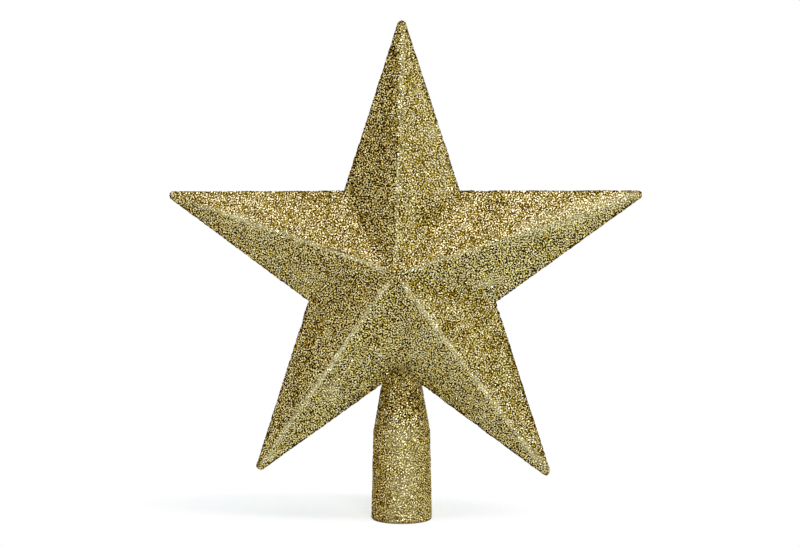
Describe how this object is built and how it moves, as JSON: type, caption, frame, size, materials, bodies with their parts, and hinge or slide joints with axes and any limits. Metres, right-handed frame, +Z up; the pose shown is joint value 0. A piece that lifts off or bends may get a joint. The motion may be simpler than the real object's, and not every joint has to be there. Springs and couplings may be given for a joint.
{
  "type": "tree topper star",
  "caption": "Hollow faceted star with raised ridges and a gold glitter finish, on a tapered tube socket that slips over the top shoot of a decorated tree.",
  "frame": {"origin": "centre of the socket's mouth, on the surface that the topper stands on", "axes": "+Z up through the star's top arm, the front peak of the star faces -Y, +X to the right seen from the front"},
  "size_m": [0.1904, 0.051, 0.2],
  "materials": {
    "moulded_plastic": "plain moulded, satin",
    "cured_glue": "clear glue line, slightly glossy",
    "gold_glitter": "coarse gold glitter"
  },
  "bodies": {
    "root": {"front_shell": "moulded_plastic", "rear_shell": "moulded_plastic", "seam_adhesive": "cured_glue", "tree_socket": "moulded_plastic", "front_glitter_coat": "gold_glitter", "rear_glitter_coat": "gold_glitter", "socket_glitter_coat": "gold_glitter"}
  },
  "joints": []
}
